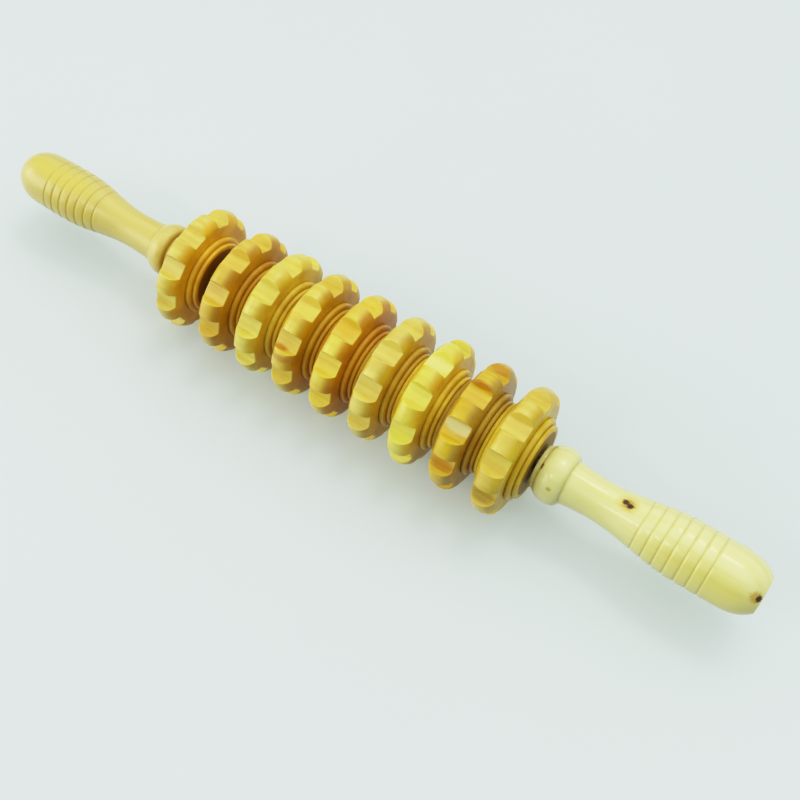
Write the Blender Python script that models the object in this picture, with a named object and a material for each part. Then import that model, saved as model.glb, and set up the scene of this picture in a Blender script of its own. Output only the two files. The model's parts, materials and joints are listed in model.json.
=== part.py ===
"""Foot massage roller: nine toothed wooden wheels that spin on a steel rod
between two turned wooden handles.

The rod lies along X and its middle is the origin. +Z is up and +X runs
towards the right handle. Units are metres.
"""

import math

import bmesh
import bpy
from mathutils import Matrix, Vector

# Whole roller
OVERALL_LENGTH = 0.400
HANDLE_LENGTH = 0.100

# Steel rod and the holes it passes through
ROD_RADIUS = 0.0030
ROD_CHAMFER = 0.0004
ROD_SEGMENTS = 24
SOCKET_RADIUS = 0.0033
SOCKET_DEPTH = 0.0400
SOCKET_END_GAP = 0.0003
BORE_RADIUS = 0.0034

# Wheels
WHEEL_COUNT = 9
WHEEL_RADIUS = 0.0305
WHEEL_THICKNESS = 0.0208
WHEEL_GAP = 0.00035
LAST_WHEEL_TO_HANDLE = 0.0015
LOOSE_GAP = 0.0048
WHEEL_SEGMENTS = 30

# Stations of the wheel's half outline: distance from its middle plane, radius
HUB_FACE_RADIUS = 0.0154
OUTER_BEAD = (0.0092, 0.0178)
BEAD_GROOVE = (0.0084, 0.0176)
INNER_BEAD = (0.0071, 0.0200)
SIDE_FOOT = (0.0060, 0.0195)
SHOULDER_LOW = (0.0056, 0.0262)
SHOULDER_HIGH = (0.0046, 0.0290)

# Notches between the teeth
NOTCH_COUNT = 10
NOTCH_FLOOR = 0.0260
NOTCH_FLOOR_HALF = 0.0036
NOTCH_MOUTH_HALF = 0.00545
NOTCH_CUT_WIDTH = 0.016
NOTCH_CUT_TOP = 0.034

# How far each wheel has spun from a notch facing up, in degrees, wheel 1 to wheel 9
WHEEL_SPINS = (10.2, 10.3, 21.2, 15.5, 14.7, 14.1, 34.1, 7.1, 13.8)

# Handle outline, measured from its outer end towards the wheels
HANDLE_SEGMENTS = 28
END_RADIUS = 0.0084
GRIP_RADIUS = 0.0136
NECK_RADIUS = 0.0092
LIP_RADIUS = 0.0098
LIP_WIDTH = 0.0006
COLLAR_RADIUS = 0.0132
END_ROUND_LENGTH = 0.020
END_ROUND_POWER = 3.9
END_ROUND_STEPS = 4
GRIP_TAPER_START = 0.032
NECK_STATION = 0.0725
COLLAR_START = 0.0860
COLLAR_END = 0.0979
COLLAR_STEPS = 6
FLARE_RADIUS = 0.0106
FLARE_RISE_AT_MIDDLE = 0.3
COLLAR_ROOT_RADIUS = 0.0102

# Surfaces that meet at more than this many degrees keep a crisp edge
SHARP_ANGLE = 35.0

# Decorative grooves round the grip
GROOVE_COUNT = 7
FIRST_GROOVE = 0.0214
GROOVE_PITCH = 0.0051
GROOVE_HALF_WIDTH = 0.0006
GROOVE_DEPTH = 0.0005

# Colour (linear), roughness and metallic value of each finish
HANDLE_FINISH = ((0.80, 0.76, 0.42), 0.25, 0.0)
STEEL_FINISH = ((0.42, 0.42, 0.40), 0.30, 1.0)
WHEEL_ROUGHNESS = 0.38
WHEEL_COLOURS = (
    (0.78, 0.66, 0.16),
    (0.66, 0.47, 0.12),
    (0.80, 0.63, 0.14),
    (0.70, 0.50, 0.10),
    (0.76, 0.53, 0.09),
    (0.74, 0.68, 0.18),
    (0.84, 0.73, 0.13),
    (0.70, 0.44, 0.07),
    (0.80, 0.65, 0.14),
)


def clear_scene():
    for item in list(bpy.data.objects):
        bpy.data.objects.remove(item, do_unlink=True)


def make_material(name, colour, roughness, metallic):
    material = bpy.data.materials.new(name)
    material.use_nodes = True
    shader = material.node_tree.nodes["Principled BSDF"]
    shader.inputs["Base Color"].default_value = (*colour, 1.0)
    shader.inputs["Roughness"].default_value = roughness
    shader.inputs["Metallic"].default_value = metallic
    return material


def turned_mesh(name, outline, segments, closed):
    """Turn an outline of (x, radius) points about X.

    A closed outline makes a ring with a bore. An open one starts and ends
    on the axis.
    """
    shape = bmesh.new()
    rings = []
    for x, radius in outline:
        if radius == 0.0:
            rings.append([shape.verts.new((x, 0.0, 0.0))])
            continue
        ring = []
        for step in range(segments):
            angle = 2.0 * math.pi * step / segments
            ring.append(shape.verts.new((x, radius * math.cos(angle), radius * math.sin(angle))))
        rings.append(ring)
    pairs = list(zip(rings, rings[1:]))
    if closed:
        pairs.append((rings[-1], rings[0]))
    for first, second in pairs:
        bridge_rings(shape, first, second)
    bmesh.ops.recalc_face_normals(shape, faces=shape.faces)
    mesh = bpy.data.meshes.new(name)
    shape.to_mesh(mesh)
    shape.free()
    return mesh


def bridge_rings(shape, first, second):
    count = max(len(first), len(second))
    for step in range(count):
        after = (step + 1) % count
        if len(first) == 1:
            shape.faces.new((first[0], second[step], second[after]))
        elif len(second) == 1:
            shape.faces.new((first[step], second[0], first[after]))
        else:
            shape.faces.new((first[step], second[step], second[after], first[after]))


def smooth_round(mesh):
    mesh.shade_smooth()
    mesh.set_sharp_from_angle(angle=math.radians(SHARP_ANGLE))


def place(name, mesh, material, parent, location=(0.0, 0.0, 0.0), rotation=(0.0, 0.0, 0.0)):
    piece = bpy.data.objects.new(name, mesh)
    bpy.context.scene.collection.objects.link(piece)
    piece.parent = parent
    piece.location = location
    piece.rotation_euler = rotation
    if not mesh.materials:
        mesh.materials.append(material)
    piece.material_slots[0].link = "OBJECT"
    piece.material_slots[0].material = material
    return piece


def make_roller_axis():
    axis = bpy.data.objects.new("roller_axis", None)
    bpy.context.scene.collection.objects.link(axis)
    return axis


def rod_outline():
    half = OVERALL_LENGTH / 2 - HANDLE_LENGTH + SOCKET_DEPTH - SOCKET_END_GAP
    tip = ROD_RADIUS - ROD_CHAMFER
    right_end = [(half - ROD_CHAMFER, ROD_RADIUS), (half, tip), (half, 0.0)]
    left_end = [(-x, radius) for x, radius in reversed(right_end)]
    return left_end + right_end


def end_round():
    """Radii from the flat end disc up to the full grip."""
    points = []
    for step in range(END_ROUND_STEPS + 1):
        station = END_ROUND_LENGTH * (step / END_ROUND_STEPS) ** 2
        rise = 1.0 - (1.0 - station / END_ROUND_LENGTH) ** END_ROUND_POWER
        points.append((station, END_RADIUS + (GRIP_RADIUS - END_RADIUS) * rise))
    return points


def grip_radius(station):
    """Full grip, then a smooth taper down to the neck."""
    run = (station - GRIP_TAPER_START) / (NECK_STATION - GRIP_TAPER_START)
    run = min(max(run, 0.0), 1.0)
    ease = (1.0 - math.cos(math.pi * run)) / 2.0
    return GRIP_RADIUS + (NECK_RADIUS - GRIP_RADIUS) * ease


def grip_grooves():
    points = []
    for index in range(GROOVE_COUNT):
        centre = FIRST_GROOVE + index * GROOVE_PITCH
        before = centre - GROOVE_HALF_WIDTH
        after = centre + GROOVE_HALF_WIDTH
        points.append((before, grip_radius(before)))
        points.append((centre, grip_radius(centre) - GROOVE_DEPTH))
        points.append((after, grip_radius(after)))
    return points


def neck_and_flare():
    last_groove = FIRST_GROOVE + (GROOVE_COUNT - 1) * GROOVE_PITCH
    middle = (last_groove + NECK_STATION) / 2
    half_flare = (NECK_STATION + COLLAR_START) / 2
    half_radius = NECK_RADIUS + (FLARE_RADIUS - NECK_RADIUS) * FLARE_RISE_AT_MIDDLE
    return [
        (middle, grip_radius(middle)),
        (NECK_STATION, NECK_RADIUS),
        (half_flare, half_radius),
        (COLLAR_START, FLARE_RADIUS),
    ]


def collar_bead():
    centre = (COLLAR_START + COLLAR_END) / 2
    half = (COLLAR_END - COLLAR_START) / 2
    points = []
    for step in range(1, COLLAR_STEPS + 1):
        angle = math.pi * step / COLLAR_STEPS
        station = centre - half * math.cos(angle)
        rise = (COLLAR_RADIUS - COLLAR_ROOT_RADIUS) * math.sin(angle)
        points.append((station, COLLAR_ROOT_RADIUS + rise))
    return points


def handle_outline():
    """From the centre of the end disc, over the outside, into the socket."""
    floor = HANDLE_LENGTH - SOCKET_DEPTH
    outline = [(0.0, 0.0)]
    outline += end_round()
    outline += grip_grooves()
    outline += neck_and_flare()
    outline += collar_bead()
    outline.append((HANDLE_LENGTH - LIP_WIDTH, COLLAR_ROOT_RADIUS))
    outline.append((HANDLE_LENGTH, LIP_RADIUS))
    outline.append((HANDLE_LENGTH, SOCKET_RADIUS))
    outline.append((floor, SOCKET_RADIUS))
    outline.append((floor, 0.0))
    return outline


def wheel_outline():
    hub = WHEEL_THICKNESS / 2
    right = [
        SHOULDER_HIGH,
        SHOULDER_LOW,
        SIDE_FOOT,
        INNER_BEAD,
        BEAD_GROOVE,
        OUTER_BEAD,
        (hub, HUB_FACE_RADIUS),
        (hub, BORE_RADIUS),
    ]
    left = [(-x, radius) for x, radius in reversed(right)]
    return left + [(0.0, WHEEL_RADIUS)] + right


def notch_cutter():
    """Ten wedge-sided bars round the rim, joined in one mesh."""
    shape = bmesh.new()
    splay = (NOTCH_MOUTH_HALF - NOTCH_FLOOR_HALF) / (WHEEL_RADIUS - NOTCH_FLOOR)
    top_half = NOTCH_FLOOR_HALF + splay * (NOTCH_CUT_TOP - NOTCH_FLOOR)
    section = (
        (-NOTCH_FLOOR_HALF, NOTCH_FLOOR),
        (NOTCH_FLOOR_HALF, NOTCH_FLOOR),
        (top_half, NOTCH_CUT_TOP),
        (-top_half, NOTCH_CUT_TOP),
    )
    for index in range(NOTCH_COUNT):
        turn = Matrix.Rotation(2.0 * math.pi * index / NOTCH_COUNT, 3, "X")
        ends = []
        for x in (-NOTCH_CUT_WIDTH / 2, NOTCH_CUT_WIDTH / 2):
            ends.append([shape.verts.new(turn @ Vector((x, y, z))) for y, z in section])
        bridge_rings(shape, ends[0], ends[1])
        shape.faces.new(ends[0])
        shape.faces.new(ends[1])
    bmesh.ops.recalc_face_normals(shape, faces=shape.faces)
    mesh = bpy.data.meshes.new("notch_cutter")
    shape.to_mesh(mesh)
    shape.free()
    cutter = bpy.data.objects.new("notch_cutter", mesh)
    bpy.context.scene.collection.objects.link(cutter)
    cutter.hide_render = True
    cutter.display_type = "WIRE"
    return cutter


def notched_wheel_mesh():
    """Cut the teeth once, and keep the result as the mesh all wheels share."""
    blank_mesh = turned_mesh("wheel_blank", wheel_outline(), WHEEL_SEGMENTS, closed=True)
    blank = bpy.data.objects.new("wheel_blank", blank_mesh)
    bpy.context.scene.collection.objects.link(blank)
    cutter = notch_cutter()
    cut = blank.modifiers.new("teeth", "BOOLEAN")
    cut.operation = "DIFFERENCE"
    cut.solver = "EXACT"
    cut.object = cutter
    bpy.context.view_layer.update()
    depsgraph = bpy.context.evaluated_depsgraph_get()
    mesh = bpy.data.meshes.new_from_object(blank.evaluated_get(depsgraph))
    mesh.name = "toothed_wheel"
    mesh.materials.clear()
    bpy.data.objects.remove(blank, do_unlink=True)
    bpy.data.objects.remove(cutter, do_unlink=True)
    return mesh


def wheel_stations():
    """Wheels 2 to 9 sit hub to hub by the right handle, wheel 1 stands off."""
    pitch = WHEEL_THICKNESS + WHEEL_GAP
    last = OVERALL_LENGTH / 2 - HANDLE_LENGTH - LAST_WHEEL_TO_HANDLE - WHEEL_THICKNESS / 2
    stations = [last - index * pitch for index in reversed(range(WHEEL_COUNT))]
    stations[0] -= LOOSE_GAP
    return stations


def add_rod(parent):
    mesh = turned_mesh("axle_rod", rod_outline(), ROD_SEGMENTS, closed=False)
    smooth_round(mesh)
    place("axle_rod", mesh, make_material("steel", *STEEL_FINISH), parent)


def add_handles(parent):
    mesh = turned_mesh("turned_handle", handle_outline(), HANDLE_SEGMENTS, closed=False)
    smooth_round(mesh)
    end = OVERALL_LENGTH / 2
    left = make_material("left_handle_wood", *HANDLE_FINISH)
    right = make_material("right_handle_wood", *HANDLE_FINISH)
    place("left_handle", mesh, left, parent, location=(-end, 0.0, 0.0))
    place("right_handle", mesh, right, parent, location=(end, 0.0, 0.0),
          rotation=(0.0, 0.0, math.pi))


def add_wheels(parent):
    mesh = notched_wheel_mesh()
    smooth_round(mesh)
    for index, station in enumerate(wheel_stations()):
        number = index + 1
        wood = make_material(f"wheel_{number}_wood", WHEEL_COLOURS[index], WHEEL_ROUGHNESS, 0.0)
        spin = math.radians(WHEEL_SPINS[index])
        place(f"wheel_{number}", mesh, wood, parent, location=(station, 0.0, 0.0),
              rotation=(spin, 0.0, 0.0))


def build_roller():
    clear_scene()
    axis = make_roller_axis()
    add_rod(axis)
    add_handles(axis)
    add_wheels(axis)


build_roller()
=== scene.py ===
import json
import math
import random

import bmesh
import bpy
import numpy as np
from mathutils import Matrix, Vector


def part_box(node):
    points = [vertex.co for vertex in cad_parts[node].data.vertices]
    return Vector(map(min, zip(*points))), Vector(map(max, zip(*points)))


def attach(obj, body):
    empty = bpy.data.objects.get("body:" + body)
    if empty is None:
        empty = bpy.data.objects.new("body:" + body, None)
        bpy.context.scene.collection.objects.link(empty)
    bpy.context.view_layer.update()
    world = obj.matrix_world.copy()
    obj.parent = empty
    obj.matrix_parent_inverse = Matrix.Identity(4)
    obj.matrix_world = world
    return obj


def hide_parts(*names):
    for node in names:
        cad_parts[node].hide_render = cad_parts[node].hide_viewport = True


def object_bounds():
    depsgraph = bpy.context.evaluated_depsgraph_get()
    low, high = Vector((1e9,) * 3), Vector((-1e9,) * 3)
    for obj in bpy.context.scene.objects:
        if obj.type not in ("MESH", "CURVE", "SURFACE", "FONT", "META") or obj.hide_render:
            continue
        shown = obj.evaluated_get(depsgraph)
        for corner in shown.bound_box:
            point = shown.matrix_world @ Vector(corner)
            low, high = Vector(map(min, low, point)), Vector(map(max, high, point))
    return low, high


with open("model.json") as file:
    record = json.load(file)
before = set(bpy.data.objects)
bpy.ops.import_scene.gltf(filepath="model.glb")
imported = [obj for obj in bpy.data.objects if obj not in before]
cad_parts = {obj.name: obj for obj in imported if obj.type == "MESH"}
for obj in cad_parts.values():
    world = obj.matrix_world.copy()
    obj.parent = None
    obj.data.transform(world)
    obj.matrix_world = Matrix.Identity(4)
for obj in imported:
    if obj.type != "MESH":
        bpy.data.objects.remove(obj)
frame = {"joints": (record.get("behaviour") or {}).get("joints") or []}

MM = 0.001
CAD_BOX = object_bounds()

# ---------------------------------------------------------------- wheels
# Half outline of a wheel, in millimetres: distance from its middle plane, radius.
RIM_RADIUS = 30.45
RIM_HALF_WIDTH = 5.85
RIM_BASE_RADIUS = 24.8
RIM_FULLNESS = 2.1
RIM_STEPS = 16
SIDE_FACE = ((5.89, 22.5), (5.95, 20.5))
SIDE_FOOT = (6.0, 19.45)
INNER_BEAD = {"centre": (7.0, 18.55), "radius": 1.5, "arc": (138.0, 15.0)}
BEAD_VALLEY = (8.5, 17.75)
OUTER_BEAD = {"centre": (9.3, 16.55), "radius": 1.25, "arc": (128.0, 25.0)}
BEAD_STEPS = 7
HUB_FACE_RADIUS = 15.4
HUB_FACE_MIDDLE = 10.0
BORE_RADIUS = 3.4
BORE_CHAMFER = 0.35

NOTCH_COUNT = 10
NOTCH_FLOOR = 26.0
NOTCH_FLOOR_HALF = 3.6
NOTCH_MOUTH_HALF = 5.45
EDGE_ROUND = 0.40
CORNER_ROUND = 0.35
# Mesh columns across half a notch: on its floor, its wall and the tooth beside it
NOTCH_STEPS = (5, 12, 5)
# Where the close columns of the wall start and end, as shares of the floor and the mouth
WALL_STEPS_FROM = 0.90
WALL_STEPS_TO = 1.14
LEAST_LEAN = 0.08

# Random hand-cut variation of each notch
NOTCH_SHIFT = 0.4        # degrees
NOTCH_DEPTH_SPREAD = 0.25
NOTCH_SKEW = 0.15        # degrees of turn for each millimetre across the rim
SKEW_REACH = 6.0         # the turn stops growing this far from the middle plane

# How far the painted highlight along sharp edges and the painted shade in turned valleys reach,
# in millimetres
EDGE_HIGHLIGHT_REACH = 0.7
VALLEY_SHADE_REACH = 0.5
# Edges sharper than this are not shaded smooth, in degrees
WHEEL_SHARP_ANGLE = 50.0
LATHE_SHARP_ANGLE = 35.0

# How far each wheel has spun from a notch facing up, in degrees
WHEEL_SPINS = (10.2, 10.3, 21.2, 15.5, 14.7, 14.1, 34.1, 7.1, 13.8)

# ---------------------------------------------------------------- handles
# Stations in millimetres from the handle's outer end.
HANDLE_SEGMENTS = 120
END_RADIUS = 8.5
GRIP_RADIUS = 13.5
NECK_RADIUS = 8.95
END_ROUND_LENGTH = 20.0
END_ROUND_POWER = 3.9
GRIP_TAPER_START = 32.0
NECK_STATION = 72.5
FLARE_POWER = 1.6
COLLAR_END = 97.9
COLLAR_RADIUS = 13.15
COLLAR_ROOT = 10.2
COLLAR_FULLNESS = 1.9
# Each collar's start, its lean towards the grip and the flare's radius where it starts
COLLARS = {"left": (87.6, -0.30, 9.7), "right": (86.0, 0.16, 10.1)}
LIP_RADIUS = 10.3
LIP_FACE_RADIUS = 9.7
GROOVE_COUNT = 7
FIRST_GROOVE = 21.4
GROOVE_PITCH = 5.1
GROOVE_HALF_WIDTH = 0.75
GROOVE_DEPTH = 0.32
RIDGE_RISE = 0.12
OUTLINE_STEP = 0.6
# Mesh rows across a groove, the reach of these rows and the gap kept beside them, in half widths
GROOVE_STEPS = 9
GROOVE_STEPS_REACH = 1.1
GROOVE_GAP = 1.3
CORNER_OFFSETS = (0.05, 0.12, 0.25)
# Painted shade on the lacquer: strength in the grooves; strength and reach beside the collar's
# two sides
GROOVE_SHADE = 0.42
NECK_SHADE = (0.4, 0.6)
LIP_SHADE = (1.0, 0.9)
LIP_SHADE_OFFSET = 0.2
SOCKET_RADIUS = 3.3
SOCKET_DEPTH = 40.0
ROD_CHAMFER = 0.4
ROD_SEGMENTS = 64


def srgb(red, green, blue):
    """Turns 0 to 255 screen values into the linear colour that shaders take."""
    def linear(value):
        value /= 255.0
        return value / 12.92 if value <= 0.04045 else ((value + 0.055) / 1.055) ** 2.4
    return (linear(red), linear(green), linear(blue), 1.0)


# ================================================================ meshes

def turned_grid(name, x, radius, angle, close_rows):
    """A mesh from grids of x, radius and angle: rows along the outline, columns round it."""
    points = np.stack([x, -radius * np.sin(angle), radius * np.cos(angle)], axis=-1) * MM
    rows, columns = radius.shape
    faces = []
    for row in range(rows if close_rows else rows - 1):
        below = (row + 1) % rows
        for column in range(columns):
            after = (column + 1) % columns
            faces.append((row * columns + column, below * columns + column,
                          below * columns + after, row * columns + after))
    mesh = bpy.data.meshes.new(name)
    mesh.from_pydata(points.reshape(-1, 3).tolist(), [], faces)
    return mesh


def finish_mesh(mesh, sharp_degrees):
    """Welds the poles, turns every face outwards and shades the round stretches smooth."""
    shape = bmesh.new()
    shape.from_mesh(mesh)
    bmesh.ops.remove_doubles(shape, verts=shape.verts, dist=1e-6)
    bmesh.ops.recalc_face_normals(shape, faces=shape.faces)
    shape.to_mesh(mesh)
    shape.free()
    mesh.shade_smooth()
    mesh.set_sharp_from_angle(angle=math.radians(sharp_degrees))
    mesh.update()


def add_piece(name, mesh, location, material, body, node):
    """Puts a mesh in the scene in place of a CAD node, riding that node's body."""
    piece = bpy.data.objects.new(name, mesh)
    bpy.context.scene.collection.objects.link(piece)
    piece.location = location
    mesh.materials.append(material)
    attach(piece, body)
    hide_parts(node)


def smooth_min(a, b, blend):
    """The smaller of two values, rounded where they meet."""
    overlap = np.maximum(blend - np.abs(a - b), 0.0) / blend
    return np.minimum(a, b) - overlap * overlap * blend / 4.0


def bead_arc(bead):
    """Points over the top of a turned bead; 90 degrees is its crest."""
    start_degrees, end_degrees = bead["arc"]
    points = []
    for step in range(BEAD_STEPS + 1):
        angle = math.radians(start_degrees + (end_degrees - start_degrees) * step / BEAD_STEPS)
        points.append((bead["centre"][0] + bead["radius"] * math.cos(angle),
                       bead["centre"][1] + bead["radius"] * math.sin(angle)))
    return points


def half_rim():
    """The crowned rim, from the middle of the crown down the shoulder."""
    points = []
    for step in range(RIM_STEPS + 1):
        share = math.sin(math.pi / 2 * step / RIM_STEPS)
        height = (1.0 - share ** RIM_FULLNESS) ** (1.0 / RIM_FULLNESS)
        radius = RIM_BASE_RADIUS + (RIM_RADIUS - RIM_BASE_RADIUS) * height
        points.append((RIM_HALF_WIDTH * share, radius))
    return points


def wheel_outline(half_width):
    """Closed outline (x, radius) of a wheel, from the left bore edge to the right one."""
    right = half_rim()
    right += [*SIDE_FACE, SIDE_FOOT]
    right += bead_arc(INNER_BEAD) + [BEAD_VALLEY] + bead_arc(OUTER_BEAD)
    right += [(half_width, HUB_FACE_RADIUS), (half_width, HUB_FACE_MIDDLE),
              (half_width, BORE_RADIUS + BORE_CHAMFER),
              (half_width - BORE_CHAMFER, BORE_RADIUS)]
    left = [(-x, radius) for x, radius in reversed(right[1:])]
    return np.array(left + right)


def notch_plan(rng):
    """Small differences between the notches cut round one wheel."""
    plan = []
    for _ in range(NOTCH_COUNT):
        plan.append({
            "shift": math.radians(rng.uniform(-NOTCH_SHIFT, NOTCH_SHIFT)),
            "floor": NOTCH_FLOOR + rng.uniform(-NOTCH_DEPTH_SPREAD, NOTCH_DEPTH_SPREAD),
            "skew": math.radians(rng.uniform(-NOTCH_SKEW, NOTCH_SKEW)),
            "tone": rng.random(),
        })
    return plan


def notch_stations():
    """Angles across one notch and half a tooth each side, close together on the walls."""
    floor_steps, wall_steps, tooth_steps = NOTCH_STEPS
    floor_end = math.atan2(NOTCH_FLOOR_HALF, NOTCH_FLOOR) * WALL_STEPS_FROM
    mouth_end = math.atan2(NOTCH_MOUTH_HALF, RIM_RADIUS) * WALL_STEPS_TO
    floor = np.linspace(0.0, floor_end, floor_steps)[:-1]
    wall = np.linspace(floor_end, mouth_end, wall_steps)
    tooth = np.linspace(mouth_end, math.pi / NOTCH_COUNT, tooth_steps)[1:]
    half = np.concatenate([floor, wall, tooth])
    return np.concatenate([-half[:0:-1], half])[1:]


def notch_limit(angle, floor):
    """Radius that a notch leaves at an angle from its middle."""
    splay = (NOTCH_MOUTH_HALF - NOTCH_FLOOR_HALF) / (RIM_RADIUS - NOTCH_FLOOR)
    flat = floor / np.cos(angle)
    lean = splay * np.cos(angle) - np.sin(np.abs(angle))
    wall = (splay * floor - NOTCH_FLOOR_HALF) / np.maximum(lean, LEAST_LEAN)
    return -smooth_min(-flat, -wall, CORNER_ROUND)


def mark_points(mesh, name, values):
    """Stores a value for every point, for the material to read."""
    attribute = mesh.attributes.new(name, "FLOAT", "POINT")
    attribute.data.foreach_set("value", values.astype(np.float32).ravel())


def painted_valley_shade(outline, shape):
    """Painted shade strength: 1 in the turned valleys beside the hub beads, fading to 0 away
    from them.
    """
    depth = np.zeros(len(outline))
    for x, radius in (SIDE_FOOT, BEAD_VALLEY):
        away = np.hypot(np.abs(outline[:, 0]) - x, outline[:, 1] - radius)
        depth = np.maximum(depth, np.exp(-(away / VALLEY_SHADE_REACH) ** 2))
    return np.broadcast_to(depth[:, None], shape)


def wheel_mesh(name, half_width, spin, rng):
    """A turned wheel with its notches, built notch by notch round the rod."""
    outline = wheel_outline(half_width)
    x = outline[:, :1]
    base = outline[:, 1:]
    radii, angles, edge_highlights, tones = [], [], [], []
    stations = notch_stations()
    for index, notch in enumerate(notch_plan(rng)):
        limit = notch_limit(stations, notch["floor"])
        radius = smooth_min(base, limit[None, :], EDGE_ROUND)
        twist = notch["skew"] * np.clip(x, -SKEW_REACH, SKEW_REACH)
        twist = twist * np.cos(stations * NOTCH_COUNT / 2)[None, :] ** 2
        centre = 2.0 * math.pi * index / NOTCH_COUNT + notch["shift"] + spin
        radii.append(radius)
        angles.append(centre + stations[None, :] + twist)
        edge_highlights.append(np.exp(-((base - limit) / EDGE_HIGHLIGHT_REACH) ** 2))
        tones.append(np.full(radius.shape, notch["tone"]))
    radius = np.concatenate(radii, axis=1)
    mesh = turned_grid(name, np.broadcast_to(x, radius.shape), radius,
                       np.concatenate(angles, axis=1), close_rows=True)
    # Painted highlight strength along the notch edges, stored for the material.
    edge_highlight = np.concatenate(edge_highlights, axis=1)
    mark_points(mesh, "edge_highlight", edge_highlight)
    mark_points(mesh, "tone", np.concatenate(tones, axis=1))
    mark_points(mesh, "valley_shade", painted_valley_shade(outline, edge_highlight.shape))
    finish_mesh(mesh, WHEEL_SHARP_ANGLE)
    return mesh


def grip_radius(station):
    """Full grip, then a smooth taper down to the neck."""
    run = (station - GRIP_TAPER_START) / (NECK_STATION - GRIP_TAPER_START)
    ease = (1.0 - math.cos(math.pi * min(max(run, 0.0), 1.0))) / 2.0
    return GRIP_RADIUS + (NECK_RADIUS - GRIP_RADIUS) * ease


def groove_cut(station):
    """Depth of the nearest turned groove at a station."""
    nearest = round((station - FIRST_GROOVE) / GROOVE_PITCH)
    nearest = min(max(nearest, 0), GROOVE_COUNT - 1)
    share = abs(station - FIRST_GROOVE - nearest * GROOVE_PITCH) / GROOVE_HALF_WIDTH
    return GROOVE_DEPTH * (1.0 + math.cos(math.pi * share)) / 2.0 if share < 1.0 else 0.0


def ridge_rise(station):
    """The slight crown of the bands between the turned grooves."""
    last_groove = FIRST_GROOVE + (GROOVE_COUNT - 1) * GROOVE_PITCH
    if not FIRST_GROOVE < station < last_groove:
        return 0.0
    return RIDGE_RISE * abs(math.sin(math.pi * (station - FIRST_GROOVE) / GROOVE_PITCH))


def handle_radius(station, collar):
    """Radius of the handle: rounded end, grip, neck, flare and collar bead."""
    if station < END_ROUND_LENGTH:
        rise = 1.0 - (1.0 - station / END_ROUND_LENGTH) ** END_ROUND_POWER
        return END_RADIUS + (GRIP_RADIUS - END_RADIUS) * rise
    if station < NECK_STATION:
        return grip_radius(station) + ridge_rise(station) - groove_cut(station)
    start, lean, flare = collar
    if station < start:
        run = (station - NECK_STATION) / (start - NECK_STATION)
        return NECK_RADIUS + (flare - NECK_RADIUS) * run ** FLARE_POWER
    side = 2.0 * (station - start) / (COLLAR_END - start) - 1.0
    side += lean * (1.0 - side * side)
    height = (1.0 - abs(side) ** COLLAR_FULLNESS) ** (1.0 / COLLAR_FULLNESS)
    root = flare + (COLLAR_ROOT - flare) * (side + 1.0) / 2.0
    return root + (COLLAR_RADIUS - root) * height


def handle_stations(collar_start):
    """Even steps along the handle, and close ones where the outline turns sharply."""
    stations = list(np.arange(0.0, COLLAR_END, OUTLINE_STEP))
    for index in range(GROOVE_COUNT):
        centre = FIRST_GROOVE + index * GROOVE_PITCH
        gap = GROOVE_HALF_WIDTH * GROOVE_GAP
        stations = [station for station in stations if abs(station - centre) > gap]
        steps = np.linspace(-GROOVE_STEPS_REACH, GROOVE_STEPS_REACH, GROOVE_STEPS)
        stations += list(centre + GROOVE_HALF_WIDTH * steps)
    for corner in (0.0, collar_start, COLLAR_END):
        for offset in CORNER_OFFSETS:
            stations += [corner - offset, corner, corner + offset]
    return sorted(station for station in set(stations) if 0.0 <= station <= COLLAR_END)


def handle_valley_shade(station, collar_start):
    """Up to 1 in the turned grooves and beside the collar, where painted shade darkens the
    lacquer.
    """
    groove = GROOVE_SHADE * groove_cut(station) / GROOVE_DEPTH
    strength, reach = NECK_SHADE
    neck_side = strength * math.exp(-((station - collar_start) / reach) ** 2)
    strength, reach = LIP_SHADE
    lip_side = strength * math.exp(-((station - COLLAR_END - LIP_SHADE_OFFSET) / reach) ** 2)
    return max(groove, neck_side, lip_side)


def handle_outline(length, collar):
    """From the centre of the end disc, over the outside, into the socket."""
    outline = [(0.0, 0.0), (0.0, END_RADIUS * 0.5), (0.0, END_RADIUS - 0.15)]
    outline += [(station, handle_radius(station, collar))
                for station in handle_stations(collar[0])]
    outline += [(COLLAR_END + 0.25, LIP_RADIUS - 0.08), (COLLAR_END + 0.5, LIP_RADIUS),
                (length - 0.5, LIP_RADIUS - 0.12), (length - 0.12, LIP_FACE_RADIUS + 0.15),
                (length, LIP_FACE_RADIUS), (length, SOCKET_RADIUS + 0.3),
                (length - 0.3, SOCKET_RADIUS), (length - SOCKET_DEPTH, SOCKET_RADIUS),
                (length - SOCKET_DEPTH, 0.0)]
    return np.array(outline)


def lathe_mesh(name, outline, segments, direction, valley_shade=None):
    """Turns an open outline about X. A direction of -1 points it the other way."""
    angle = np.linspace(0.0, 2.0 * math.pi, segments, endpoint=False)
    shape = (len(outline), segments)
    x = np.broadcast_to(outline[:, :1] * direction, shape)
    radius = np.broadcast_to(outline[:, 1:], shape)
    mesh = turned_grid(name, x, radius, np.broadcast_to(angle, shape), close_rows=False)
    if valley_shade is not None:
        mark_points(mesh, "valley_shade", np.broadcast_to(valley_shade[:, None], shape))
    finish_mesh(mesh, LATHE_SHARP_ANGLE)
    return mesh


# ================================================================ materials

# How far a face must turn along the rod to show end grain, from none to full. On shoulders
# that face right it starts nearer the crown, as in the photo. The difference between the sides
# is
# painted light: right-facing shoulders brown early as painted shade, left-facing ones stay pale
# as a painted sheen.
END_GRAIN_AND_SHADE_RIGHT = (0.15, 0.80)
END_GRAIN_AND_SHEEN_LEFT = (0.55, 0.95)
# Radii between which the hub's darker wood starts, and its strength there
HUB_WOOD_RADII = (22.0, 19.8)
HUB_WOOD_SHARE = 0.8
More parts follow.
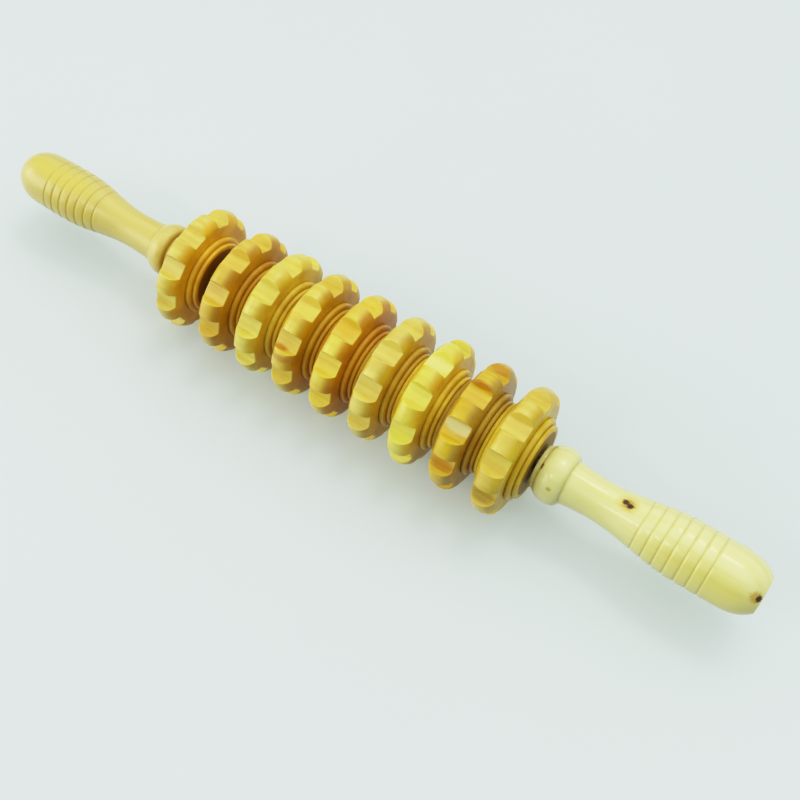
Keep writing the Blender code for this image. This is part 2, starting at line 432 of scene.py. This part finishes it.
# The same for the painted shade on the hub's flat ends, which sit in shade between the wheels
HUB_END_SHADE_RADII = (16.1, 15.0)
HUB_END_SHADE_SHARE = 0.9
# A patch fades out between these shares of its reach, warped by the fibres
PATCH_EDGE = (1.15, 0.55)
PATCH_WARP = 0.9
# Lacquer of the wheels: weight, what end grain and the painted shade of the hub ends take from
# it, roughness
WHEEL_COAT = 0.8
END_GRAIN_COAT_LOSS = 0.20
HUB_END_SHADE_COAT_LOSS = 0.60
WHEEL_GLOSS = 0.24
MARK_COAT_LOSS = 0.3
COAT_IOR = 1.45
LACQUER_RIPPLE = 0.12
RIPPLE_SCALE = 0.28
# The grain is squeezed along the rod, so that its noise draws long fibres
FIBRE_STRETCH = (0.05, 1.0, 1.0)
BLOTCH_STRETCH = (0.06, 0.09, 0.09)
RING_STRETCH = (0.02, 0.05, 0.05)
RING_WARP = 9.0
HANDLE_PITH = (30.0, -22.0)
HANDLE_RING_SPACING = 4.0
# What each pattern adds to the wood's darker tint
WHEEL_GRAIN = {"fibres": 0.45, "rings": 0.12, "blotches": 0.8, "tooth": 0.10}
HANDLE_GRAIN = {"fibres": 0.7, "rings": 0.25}
# Strength of the painted shade in turned valleys and of the painted highlight along sharp edges
WHEEL_VALLEY_SHADE = 0.55
WHEEL_EDGE_HIGHLIGHT = 0.35
HANDLE_VALLEY_SHADE = 0.8
# Roughness of the wood below the lacquer, and the depth of its fibres in millimetres
WHEEL_ROUGHNESS = 0.5
HANDLE_ROUGHNESS = 0.4
WHEEL_FIBRE_DEPTH = 0.05
HANDLE_FIBRE_DEPTH = 0.03


class Graph:
    """Short calls for building one material's nodes."""

    def __init__(self, name):
        self.material = bpy.data.materials.new(name)
        self.material.use_nodes = True
        self.tree = self.material.node_tree
        self.shader = self.tree.nodes["Principled BSDF"]

    def node(self, kind, **settings):
        made = self.tree.nodes.new(kind)
        for key, value in settings.items():
            setattr(made, key, value)
        return made

    def feed(self, socket, value):
        if isinstance(value, bpy.types.NodeSocket):
            self.tree.links.new(value, socket)
        else:
            socket.default_value = value

    def math(self, operation, first, second=0.0, clamp=False):
        made = self.node("ShaderNodeMath", operation=operation, use_clamp=clamp)
        self.feed(made.inputs[0], first)
        self.feed(made.inputs[1], second)
        return made.outputs[0]

    def vector(self, operation, first, second):
        made = self.node("ShaderNodeVectorMath", operation=operation)
        self.feed(made.inputs[0], first)
        self.feed(made.inputs[1], second)
        return made.outputs["Value" if operation in ("LENGTH", "DISTANCE") else "Vector"]

    def mix(self, share, first, second, blend="MIX"):
        made = self.node("ShaderNodeMix", data_type="RGBA", blend_type=blend)
        self.feed(made.inputs["Factor"], share)
        self.feed(made.inputs[6], first)
        self.feed(made.inputs[7], second)
        return made.outputs[2]

    def spread(self, value, low, high, to_low=0.0, to_high=1.0):
        made = self.node("ShaderNodeMapRange", interpolation_type="SMOOTHSTEP")
        for index, item in enumerate((value, low, high, to_low, to_high)):
            self.feed(made.inputs[index], item)
        return made.outputs[0]

    def noise(self, vector, scale, detail=2.0, roughness=0.5):
        made = self.node("ShaderNodeTexNoise")
        self.feed(made.inputs["Vector"], vector)
        self.feed(made.inputs["Scale"], scale)
        self.feed(made.inputs["Detail"], detail)
        self.feed(made.inputs["Roughness"], roughness)
        return made.outputs["Fac"]

    def attribute(self, name):
        made = self.node("ShaderNodeAttribute", attribute_name=name)
        return made.outputs["Fac"]

    def set(self, name, value):
        self.feed(self.shader.inputs[name], value)


def wood_coordinates(graph, offset):
    """Millimetres in the piece's own frame, shifted so that no two pieces match."""
    place = graph.node("ShaderNodeTexCoord").outputs["Object"]
    scaled = graph.vector("MULTIPLY", place, (1000.0, 1000.0, 1000.0))
    return scaled, graph.vector("ADD", scaled, offset)


def fibre_pattern(graph, shifted):
    """Fine fibres that run along the rod, as in wood turned along its grain."""
    stretched = graph.vector("MULTIPLY", shifted, FIBRE_STRETCH)
    coarse = graph.noise(stretched, 0.45, 3.0, 0.55)
    fine = graph.noise(stretched, 2.0, 2.0, 0.6)
    return coarse, fine


def ring_pattern(graph, shifted, pith, spacing):
    """Growth rings about a pith line parallel to the rod."""
    warp = graph.noise(graph.vector("MULTIPLY", shifted, RING_STRETCH), 1.0, 2.0)
    flat = graph.vector("MULTIPLY", shifted, (0.0, 1.0, 1.0))
    distance = graph.vector("DISTANCE", flat, (0.0, *pith))
    phase = graph.math("ADD", graph.math("MULTIPLY", distance, 2.0 * math.pi / spacing),
                       graph.math("MULTIPLY", warp, RING_WARP))
    return graph.math("ADD", graph.math("MULTIPLY", graph.math("SINE", phase), 0.5), 0.5)


def grain_share(graph, *parts):
    """Adds up patterns, each with its own weight."""
    total = graph.math("MULTIPLY", *parts[0])
    for part in parts[1:]:
        total = graph.math("ADD", total, graph.math("MULTIPLY", *part))
    return total


def rod_distance(graph, place):
    """Distance from the rod's axis in millimetres."""
    across = graph.vector("MULTIPLY", place, (0.0, 1.0, 1.0))
    return graph.vector("LENGTH", across, (0.0, 0.0, 0.0))


def end_grain_and_side_light(graph, place):
    """End grain on the faces square to the rod, and the darker wood of the hub. The two sides
    differ as painted light: faces turned right brown sooner as painted shade, faces turned left
    stay pale as a painted sheen.
    """
    normal = graph.node("ShaderNodeTexCoord").outputs["Normal"]
    parts = graph.node("ShaderNodeSeparateXYZ")
    graph.feed(parts.inputs[0], normal)
    # Painted light: faces turned right take the brown sooner (painted shade), faces turned left
    # later (painted sheen).
    right = graph.spread(parts.outputs["X"], *END_GRAIN_AND_SHADE_RIGHT)
    left = graph.spread(graph.math("MULTIPLY", parts.outputs["X"], -1.0), *END_GRAIN_AND_SHEEN_LEFT)
    facing = graph.math("MAXIMUM", right, left)
    hub = graph.spread(rod_distance(graph, place), *HUB_WOOD_RADII, 0.0, HUB_WOOD_SHARE)
    return graph.math("MAXIMUM", facing, hub)


def hub_end_shade(graph, place):
    """Near 1 on the flat ends of the hub, where painted shade darkens the wood and dulls the
    lacquer.
    """
    return graph.spread(rod_distance(graph, place), *HUB_END_SHADE_RADII, 0.0, HUB_END_SHADE_SHARE)


def patch(graph, place, warp, centre, size, strength):
    """Share of a soft-edged patch; size is its reach along X, Y and Z in millimetres."""
    away = graph.vector("SUBTRACT", place, centre)
    away = graph.vector("DIVIDE", away, size)
    reach = graph.math("ADD", graph.vector("LENGTH", away, (0.0, 0.0, 0.0)),
                       graph.math("MULTIPLY", graph.math("SUBTRACT", warp, 0.5), PATCH_WARP))
    return graph.spread(reach, *PATCH_EDGE, 0.0, strength)


def lacquer(graph, shifted, weight, roughness):
    """Clear lacquer over the wood, with the slight ripple of a dipped finish."""
    graph.set("Coat Weight", weight)
    graph.set("Coat IOR", COAT_IOR)
    graph.set("Coat Roughness", roughness)
    bump = graph.node("ShaderNodeBump")
    graph.feed(bump.inputs["Height"], graph.noise(shifted, RIPPLE_SCALE, 2.0, 0.5))
    graph.feed(bump.inputs["Strength"], 0.5)
    graph.feed(bump.inputs["Distance"], LACQUER_RIPPLE * MM)
    graph.set("Coat Normal", bump.outputs[0])


def wood_bump(graph, fine, depth):
    """Raised fibres below the lacquer."""
    bump = graph.node("ShaderNodeBump")
    graph.feed(bump.inputs["Height"], fine)
    graph.feed(bump.inputs["Strength"], 0.6)
    graph.feed(bump.inputs["Distance"], depth * MM)
    graph.set("Normal", bump.outputs[0])


def toned(colour, red, green, blue):
    """A colour with each channel scaled."""
    return (colour[0] * red, colour[1] * green, colour[2] * blue, 1.0)


# Long grain and end grain of each wheel's wood
WHEEL_WOODS = (
    (srgb(240, 225, 105), srgb(245, 198, 35)),
    (srgb(240, 215, 85), srgb(210, 160, 20)),
    (srgb(245, 235, 110), srgb(235, 205, 58)),
    (srgb(240, 220, 90), srgb(215, 170, 10)),
    (srgb(245, 225, 85), srgb(215, 155, 5)),
    (srgb(240, 225, 110), srgb(215, 180, 45)),
    (srgb(245, 240, 100), srgb(245, 210, 55)),
    (srgb(230, 200, 45), srgb(195, 160, 55)),
    (srgb(235, 215, 95), srgb(235, 205, 45)),
)
HANDLE_WOODS = {"left": srgb(230, 215, 115), "right": srgb(245, 245, 160)}

# Stains and burns: wheel, middle and reach along X, Y, Z in millimetres, colour, strength
WHEEL_MARKS = (
    (4, (-2.6, -23.4, 13.9), (4.6, 1.8, 1.6), srgb(206, 130, 2), 0.8),
    (4, (0.0, -27.4, 12.0), (6.5, 2.4, 2.0), srgb(190, 128, 16), 0.6),
    (5, (0.0, -5.0, 25.5), (8.0, 5.0, 2.0), srgb(236, 190, 20), 0.6),
    (7, (-0.5, 2.2, 26.1), (7.5, 4.5, 1.6), srgb(250, 244, 170), 0.45),
    (8, (-1.0, 1.2, 29.3), (7.5, 2.0, 2.4), srgb(194, 124, 4), 0.8),
    (8, (0.5, 17.7, 22.8), (6.0, 3.2, 2.6), srgb(206, 150, 10), 0.65),
    (8, (0.2, -16.4, 20.3), (7.5, 3.7, 3.7), srgb(236, 226, 150), 0.95),
    (8, (0.5, -26.1, 3.0), (7.0, 2.5, 4.6), srgb(206, 142, 22), 0.8),
    (9, (-0.5, -26.2, -1.0), (6.5, 3.0, 6.0), srgb(150, 130, 50), 0.45),
)
# Roughness of each handle's lacquer
HANDLE_GLOSS = {"left": 0.28, "right": 0.16}

# Knots, yellower wood and a painted shade patch in the handles: middle and reach in millimetres,
# colour, strength
HANDLE_MARKS = {
    "left": (
        ((27.0, -3.2, 13.1), (26.0, 7.0, 5.0), srgb(236, 220, 80), 0.5),
        ((38.0, -12.4, 5.4), (22.0, 6.0, 8.0), srgb(220, 200, 80), 0.6),
    ),
    "right": (
        # Painted shade: the right grip's lower front side is deepened to a darker, more
        # saturated yellow.
        ((-24.0, -12.0, 3.0), (34.0, 11.0, 11.0), srgb(235, 224, 110), 0.5),
        ((-60.5, -1.0, 10.2), (5.5, 4.6, 3.0), srgb(230, 205, 80), 0.6),
        ((-60.5, -1.0, 10.2), (3.2, 2.6, 2.4), srgb(190, 145, 25), 0.7),
        ((-61.7, -0.6, 10.3), (1.7, 1.4, 2.0), srgb(70, 36, 0), 0.95),
        ((-59.4, -1.5, 10.2), (1.6, 1.3, 2.0), srgb(54, 26, 0), 0.95),
        ((-2.4, -7.4, 7.4), (2.8, 2.8, 2.8), srgb(210, 165, 45), 0.7),
        ((-1.0, -7.2, 7.2), (1.5, 2.0, 2.0), srgb(64, 32, 0), 0.95),
        ((-90.6, -11.7, 5.8), (1.3, 1.1, 1.1), srgb(198, 168, 30), 0.7),
        ((-97.3, -5.2, 9.0), (0.7, 2.2, 1.6), srgb(120, 80, 5), 0.9),
    ),
}


def wheel_wood(number, rng):
    """Lacquered wood of one wheel, with its own tint, grain, stains and burns, painted shade in
    its valleys, on its hub ends and right-facing shoulders, and painted highlights on its notch
    edges.
    """
    long_grain, end = WHEEL_WOODS[number - 1]
    graph = Graph(f"wheel_{number}_lacquered_wood")
    offset = tuple(rng.uniform(-400.0, 400.0) for _ in range(3))
    place, shifted = wood_coordinates(graph, offset)
    pith_angle = rng.uniform(0.0, 2.0 * math.pi)
    pith_distance = rng.uniform(20.0, 45.0)
    pith = (offset[1] + pith_distance * math.cos(pith_angle),
            offset[2] + pith_distance * math.sin(pith_angle))
    coarse, fine = fibre_pattern(graph, shifted)
    rings = ring_pattern(graph, shifted, pith, rng.uniform(3.0, 5.0))
    blotch = graph.noise(graph.vector("MULTIPLY", shifted, BLOTCH_STRETCH), 1.0, 3.0)
    share = grain_share(graph, (coarse, WHEEL_GRAIN["fibres"]), (rings, WHEEL_GRAIN["rings"]),
                        (blotch, WHEEL_GRAIN["blotches"]),
                        (graph.attribute("tone"), WHEEL_GRAIN["tooth"]))
    colour = graph.mix(graph.spread(share, 0.45, 0.98), toned(long_grain, 1.05, 1.08, 1.2),
                       toned(long_grain, 0.90, 0.80, 0.62))
    across = end_grain_and_side_light(graph, place)
    deep = graph.mix(graph.spread(blotch, 0.3, 0.7), toned(end, 1.08, 1.12, 1.2),
                     toned(end, 0.88, 0.80, 0.65))
    colour = graph.mix(across, colour, deep)
    # Painted shade: the hub's flat ends are darkened and lose lacquer, as if in the shade
    # between wheels.
    hub = hub_end_shade(graph, place)
    colour = graph.mix(hub, colour, toned(end, 0.42, 0.31, 0.12))
    # Painted shade: the turned valleys beside the hub beads are darkened.
    valley_shade = graph.math("MULTIPLY", graph.attribute("valley_shade"), WHEEL_VALLEY_SHADE)
    colour = graph.mix(valley_shade, colour, toned(end, 0.45, 0.36, 0.25))
    # Painted highlight: the wood is lightened along the sharp notch edges.
    edge_highlight = graph.math("MULTIPLY", graph.attribute("edge_highlight"), WHEEL_EDGE_HIGHLIGHT)
    colour = graph.mix(edge_highlight, colour, toned(long_grain, 1.12, 1.10, 1.2))
    for wheel, centre, size, tint, strength in WHEEL_MARKS:
        if wheel == number:
            colour = graph.mix(patch(graph, place, fine, centre, size, strength), colour, tint)
    graph.set("Base Color", colour)
    graph.set("Roughness", WHEEL_ROUGHNESS)
    wood_bump(graph, fine, WHEEL_FIBRE_DEPTH)
    loss = graph.math("MULTIPLY", across, END_GRAIN_COAT_LOSS)
    coat = graph.math("SUBTRACT", WHEEL_COAT, loss)
    loss = graph.math("MULTIPLY", hub, HUB_END_SHADE_COAT_LOSS)
    coat = graph.math("SUBTRACT", coat, loss, clamp=True)
    lacquer(graph, shifted, coat, WHEEL_GLOSS)
    return graph.material


def handle_wood(name, tint, marks, gloss, rng):
    """Lacquered wood of one handle, with knots where the photo shows them, painted shade in its
    grooves and beside its collar, and on the right handle a painted shade patch under the grip.
    """
    graph = Graph(name)
    offset = tuple(rng.uniform(-400.0, 400.0) for _ in range(3))
    place, shifted = wood_coordinates(graph, offset)
    coarse, fine = fibre_pattern(graph, shifted)
    pith = (offset[1] + HANDLE_PITH[0], offset[2] + HANDLE_PITH[1])
    rings = ring_pattern(graph, shifted, pith, HANDLE_RING_SPACING)
    share = grain_share(graph, (coarse, HANDLE_GRAIN["fibres"]),
                        (rings, HANDLE_GRAIN["rings"]))
    colour = graph.mix(graph.spread(share, 0.30, 0.95), toned(tint, 1.04, 1.04, 1.15),
                       toned(tint, 0.94, 0.92, 0.78))
    # Painted shade: the grooves and the sides of the collar are darkened.
    valley_shade = graph.math("MULTIPLY", graph.attribute("valley_shade"), HANDLE_VALLEY_SHADE)
    colour = graph.mix(valley_shade, colour, toned(tint, 0.66, 0.52, 0.22))
    coat = 1.0
    for centre, size, mark, strength in marks:
        share = patch(graph, place, fine, centre, size, strength)
        colour = graph.mix(share, colour, mark)
        loss = graph.math("MULTIPLY", share, MARK_COAT_LOSS)
        coat = graph.math("SUBTRACT", coat, loss, clamp=True)
    graph.set("Base Color", colour)
    graph.set("Roughness", HANDLE_ROUGHNESS)
    wood_bump(graph, fine, HANDLE_FIBRE_DEPTH)
    lacquer(graph, shifted, coat, gloss)
    return graph.material


def rod_steel():
    """Drawn steel with fine streaks along the rod."""
    graph = Graph("drawn_steel")
    place, _ = wood_coordinates(graph, (0.0, 0.0, 0.0))
    streaks = graph.noise(graph.vector("MULTIPLY", place, (0.08, 2.5, 2.5)), 1.0, 3.0)
    graph.set("Metallic", 1.0)
    graph.set("Base Color", graph.mix(streaks, srgb(150, 152, 146), srgb(96, 97, 90)))
    graph.set("Roughness", graph.spread(streaks, 0.3, 0.7, 0.32, 0.48))
    return graph.material


# ================================================================ the object

def build_wheels():
    joints = {joint["child"]: joint for joint in frame["joints"]}
    for number, spin in enumerate(WHEEL_SPINS, start=1):
        node = f"wheel_{number}"
        rng = random.Random(100 + number)
        low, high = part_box(node)
        half_width = (high.x - low.x) / 2 / MM
        mesh = wheel_mesh(f"{node}_mesh", half_width, math.radians(spin), rng)
        add_piece(f"{node}_turned", mesh, Vector(joints[node]["pos_m"]),
                  wheel_wood(number, rng), node, node)


def build_handles():
    for side, direction in (("left", 1.0), ("right", -1.0)):
        node = f"{side}_handle"
        low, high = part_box(node)
        outer_end = low.x if direction > 0 else high.x
        collar = COLLARS[side]
        outline = handle_outline((high.x - low.x) / MM, collar)
        valley_shade = np.array([handle_valley_shade(station, collar[0]) for station in outline[:, 0]])
        mesh = lathe_mesh(f"{node}_mesh", outline, HANDLE_SEGMENTS, direction, valley_shade)
        wood = handle_wood(f"{node}_lacquered_wood", HANDLE_WOODS[side],
                           HANDLE_MARKS[side], HANDLE_GLOSS[side],
                           random.Random(side))
        add_piece(f"{node}_turned", mesh, (outer_end, 0.0, 0.0), wood,
                  "rod_and_handles", node)


def build_rod():
    low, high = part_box("axle_rod")
    half = (high.x - low.x) / 2 / MM
    radius = (high.z - low.z) / 2 / MM
    outline = np.array([(-half, 0.0), (-half, radius - ROD_CHAMFER),
                        (-half + ROD_CHAMFER, radius), (half - ROD_CHAMFER, radius),
                        (half, radius - ROD_CHAMFER), (half, 0.0)])
    mesh = lathe_mesh("axle_rod_mesh", outline, ROD_SEGMENTS, 1.0)
    add_piece("axle_rod_steel", mesh, (0.0, 0.0, 0.0), rod_steel(),
              "rod_and_handles", "axle_rod")


# ================================================================ the stage

CAMERA_PLACE = (0.17224, -0.25817, 0.41336)
CAMERA_AIM = (-0.01366, -0.00632, 0.0)
CAMERA_LENS = 51.106
CAMERA_SHIFT = (0.10608, -0.06543)
FLOOR_SIZE = 6.0
FLOOR_TONES = (srgb(203, 211, 207), srgb(207, 215, 211))
FLOOR_GLOW = (0.18, 0.21, 0.21, 1.0)
# Softboxes aimed at the roller: direction, width and height in metres, power in watts
SOFTBOXES = {
    "overhead": ((0.05, 0.33, 0.94), (1.0, 0.6), 8.0),
    "window": ((-0.78, -0.62, 0.29), (2.6, 1.5), 29.0),
    "lamp": ((-0.25, -0.70, 0.67), (0.7, 0.25), 4.5),
}
SOFTBOX_DISTANCE = 3.0
# The sky: its colour, an even part and a broad bright part in one direction
SKY_COLOUR = (0.95, 0.98, 1.0, 1.0)
SKY_BRIGHTEST = (0.20, 0.32, 0.93)
SKY_GLOW = 1.05
SKY_BASE = 0.13
# Light thrown back by the table below the window: direction, cosine where it ends, strength
BOUNCE_FROM = (-0.80, -0.45, -0.40)
BOUNCE_EDGE = 0.4
BOUNCE_GLOW = 1.5
# How bright the sky looks behind the floor, whatever light it gives
BACKDROP = 0.82
# How the picture answers to light: deeper shadows and gentler highlights
TONE_CURVE = ((0.0, 0.0), (0.05, 0.026), (0.12, 0.085), (0.25, 0.22), (0.5, 0.50),
              (0.75, 0.73), (1.0, 0.86))


def build_floor():
    """A pale table top. The sky's lower half stands in for the light that it throws back."""
    mesh = bpy.data.meshes.new("floor")
    half = FLOOR_SIZE / 2
    z = CAD_BOX[0][2]
    mesh.from_pydata([(-half, -half, z), (half, -half, z), (half, half, z), (-half, half, z)],
                     [], [(0, 1, 2, 3)])
    floor = bpy.data.objects.new("floor", mesh)
    bpy.context.scene.collection.objects.link(floor)
    graph = Graph("pale_floor")
    place = graph.node("ShaderNodeTexCoord").outputs["Object"]
    mottle = graph.noise(place, 6.0, 3.0)
    graph.set("Base Color", graph.mix(mottle, FLOOR_TONES[0], FLOOR_TONES[1]))
    graph.set("Roughness", 0.6)
    graph.set("Emission Color", FLOOR_GLOW)
    graph.set("Emission Strength", 1.0)
    mesh.materials.append(graph.material)
    floor.visible_diffuse = False


def aim(thing, target):
    direction = Vector(target) - thing.location
    thing.rotation_euler = direction.to_track_quat("-Z", "Y").to_euler()


def add_softbox(name, direction, size, power):
    light = bpy.data.lights.new(name, "AREA")
    light.shape = "RECTANGLE"
    light.size = size[0]
    light.size_y = size[1]
    light.energy = power
    box = bpy.data.objects.new(name, light)
    bpy.context.scene.collection.objects.link(box)
    box.location = Vector(direction).normalized() * SOFTBOX_DISTANCE
    aim(box, (0.0, 0.0, 0.0))


def build_lights():
    """Softboxes, and a sky that lights the roller but looks even behind the floor."""
    for name, (direction, size, power) in SOFTBOXES.items():
        add_softbox(name, direction, size, power)
    world = bpy.data.worlds.new("studio")
    bpy.context.scene.world = world
    world.use_nodes = True
    tree = world.node_tree

    def link(kind, operation, *inputs):
        made = tree.nodes.new(kind)
        made.operation = operation
        for socket, value in zip(made.inputs, inputs):
            if isinstance(value, bpy.types.NodeSocket):
                tree.links.new(value, socket)
            else:
                socket.default_value = value
        return made

    direction = tree.nodes.new("ShaderNodeTexCoord").outputs["Generated"]
    towards = link("ShaderNodeVectorMath", "DOT_PRODUCT", direction, SKY_BRIGHTEST)
    above = link("ShaderNodeMath", "MAXIMUM", towards.outputs["Value"], 0.0)
    sky = link("ShaderNodeMath", "MULTIPLY_ADD", above.outputs[0], SKY_GLOW, SKY_BASE)
    towards = link("ShaderNodeVectorMath", "DOT_PRODUCT", direction, BOUNCE_FROM)
    towards = link("ShaderNodeMath", "SUBTRACT", towards.outputs["Value"], BOUNCE_EDGE)
    below = link("ShaderNodeMath", "MAXIMUM", towards.outputs[0], 0.0)
    light = link("ShaderNodeMath", "MULTIPLY_ADD", below.outputs[0], BOUNCE_GLOW,
                 sky.outputs[0])
    seen = tree.nodes.new("ShaderNodeLightPath").outputs["Is Camera Ray"]
    unseen = link("ShaderNodeMath", "SUBTRACT", 1.0, seen)
    hidden = link("ShaderNodeMath", "MULTIPLY", light.outputs[0], unseen.outputs[0])
    strength = link("ShaderNodeMath", "MULTIPLY_ADD", seen, BACKDROP, hidden.outputs[0])
    background = tree.nodes["Background"]
    background.inputs["Color"].default_value = SKY_COLOUR
    tree.links.new(strength.outputs[0], background.inputs["Strength"])


def build_camera():
    camera = bpy.data.objects.new("camera", bpy.data.cameras.new("camera"))
    bpy.context.scene.collection.objects.link(camera)
    camera.data.sensor_width = 36.0
    camera.data.lens = CAMERA_LENS
    camera.data.shift_x, camera.data.shift_y = CAMERA_SHIFT
    camera.location = CAMERA_PLACE
    aim(camera, CAMERA_AIM)
    bpy.context.scene.camera = camera


def set_tones():
    """The plain display view with the tone curve above."""
    view = bpy.context.scene.view_settings
    view.view_transform = "Standard"
    view.use_curve_mapping = True
    mapping = view.curve_mapping
    mapping.extend = "EXTRAPOLATED"
    curve = mapping.curves[3]
    curve.points[0].location = TONE_CURVE[0]
    curve.points[1].location = TONE_CURVE[-1]
    for spot in TONE_CURVE[1:-1]:
        curve.points.new(*spot)
    mapping.update()


build_rod()
build_handles()
build_wheels()
build_floor()
build_lights()
build_camera()
set_tones()
